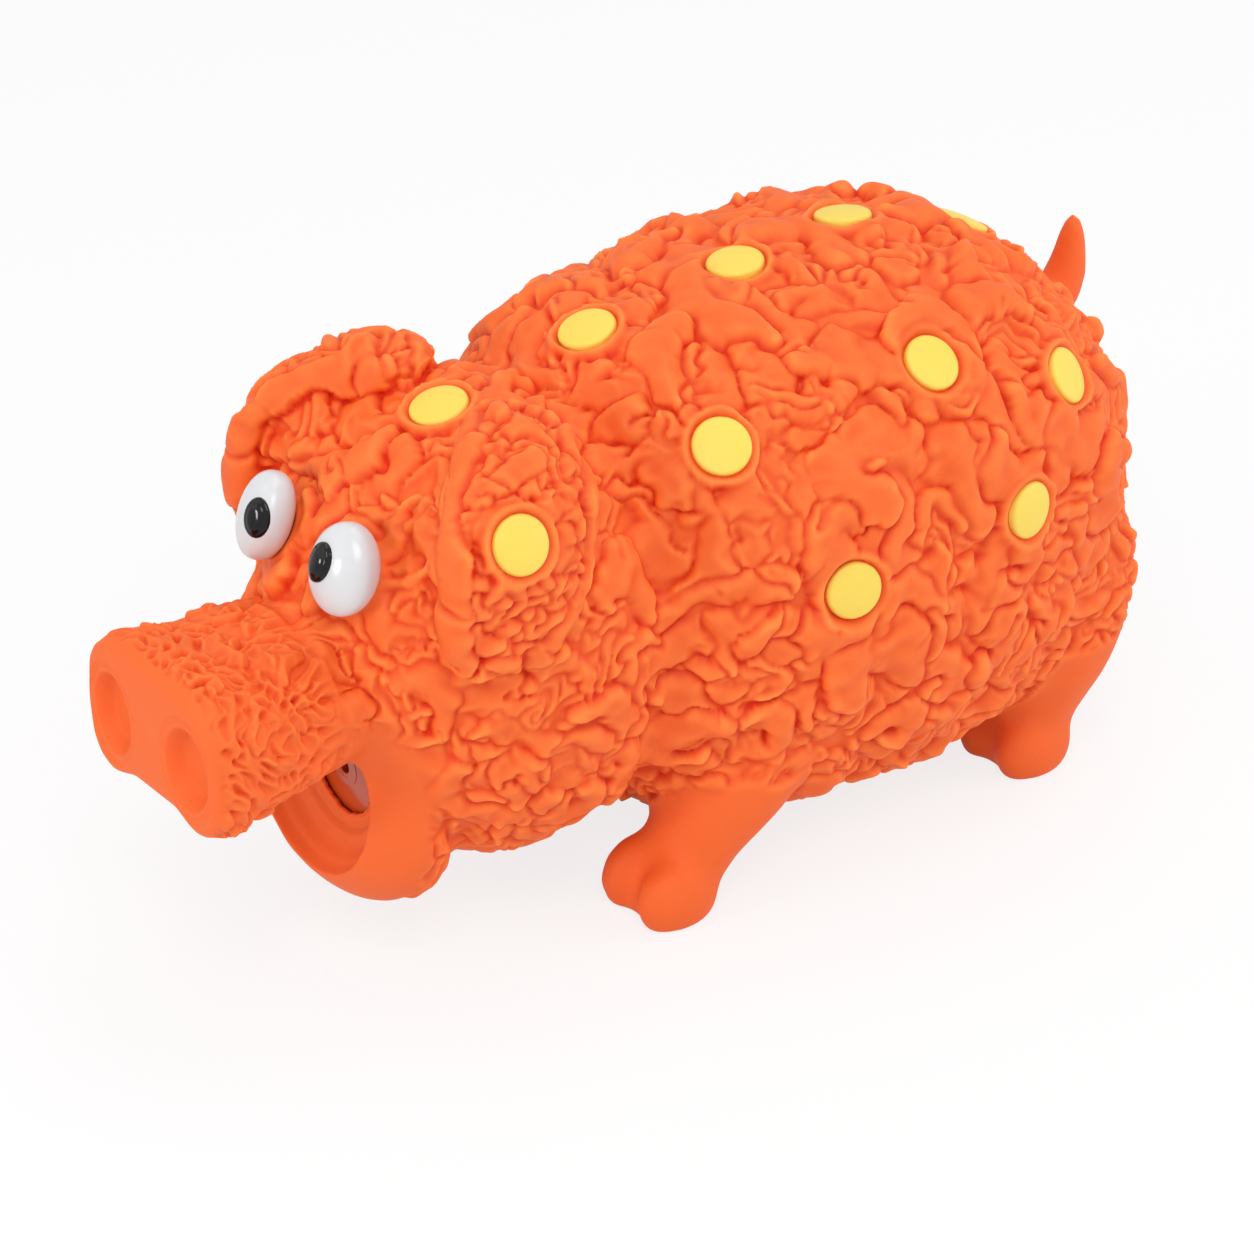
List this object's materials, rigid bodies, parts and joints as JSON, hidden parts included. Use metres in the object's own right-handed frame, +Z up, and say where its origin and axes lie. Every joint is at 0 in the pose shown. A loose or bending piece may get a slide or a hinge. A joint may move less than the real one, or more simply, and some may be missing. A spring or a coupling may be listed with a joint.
{
  "type": "latex dog toy",
  "caption": "Squeaky dog toy in the shape of a fat spotted pig: a wrinkled latex skin filled with fibre, with a bellows grunter behind its open mouth.",
  "frame": {"origin": "centre of the bounding box on the floor, between the four feet", "axes": "+X runs from the snout to the tail, +Z is up, and -Y is the pig's left side"},
  "size_m": [0.2344, 0.1154, 0.1228],
  "materials": {
    "latex": "matte orange latex",
    "spots": "matte yellow latex",
    "eyes": "glossy white latex",
    "pupils": "glossy black",
    "fibre": "loose white polyester fibre",
    "grunter_plastic": "glossy pale plastic",
    "reed": "thin metal blade"
  },
  "bodies": {
    "toy": {"body_skin": "latex", "head_skin": "latex", "jaw_skin": "latex", "snout_skin": "latex", "tail_skin": "latex", "front_leg_left_skin": "latex", "hind_leg_left_skin": "latex", "front_leg_right_skin": "latex", "hind_leg_right_skin": "latex", "head_stuffing": "fibre", "body_stuffing": "fibre", "ear_left_skin": "latex", "ear_left_spot": "spots", "eye_left": "eyes", "pupil_left": "pupils", "side_spot_left_1": "spots", "side_spot_left_2": "spots", "side_spot_left_3": "spots", "side_spot_left_4": "spots", "side_spot_left_5": "spots", "ear_right_skin": "latex", "ear_right_spot": "spots", "eye_right": "eyes", "pupil_right": "pupils", "side_spot_right_1": "spots", "side_spot_right_2": "spots", "side_spot_right_3": "spots", "side_spot_right_4": "spots", "side_spot_right_5": "spots", "spine_spot_1": "spots", "spine_spot_2": "spots", "spine_spot_3": "spots", "spine_spot_4": "spots", "spine_spot_5": "spots", "grunter_front_cap": "grunter_plastic", "grunter_bellows": "grunter_plastic", "reed_seat": "grunter_plastic"},
    "grunter_rear": {"grunter_rear_cap": "grunter_plastic"},
    "reed": {"reed_tongue": "reed"}
  },
  "joints": [
    {"name": "grunter_squeeze", "type": "slide", "parent": "toy", "child": "grunter_rear", "axis": [-1, 0, 0], "range_m": [0, 0.012], "stiffness_N_per_m": 300, "deforming": ["grunter_bellows"]},
    {"name": "reed_flap", "type": "hinge", "parent": "toy", "child": "reed", "pos_m": [-0.06531, 0, 0.0401], "axis": [0, -1, 0], "range_deg": [0, 6], "stiffness_Nm_per_rad": 0.002}
  ]
}
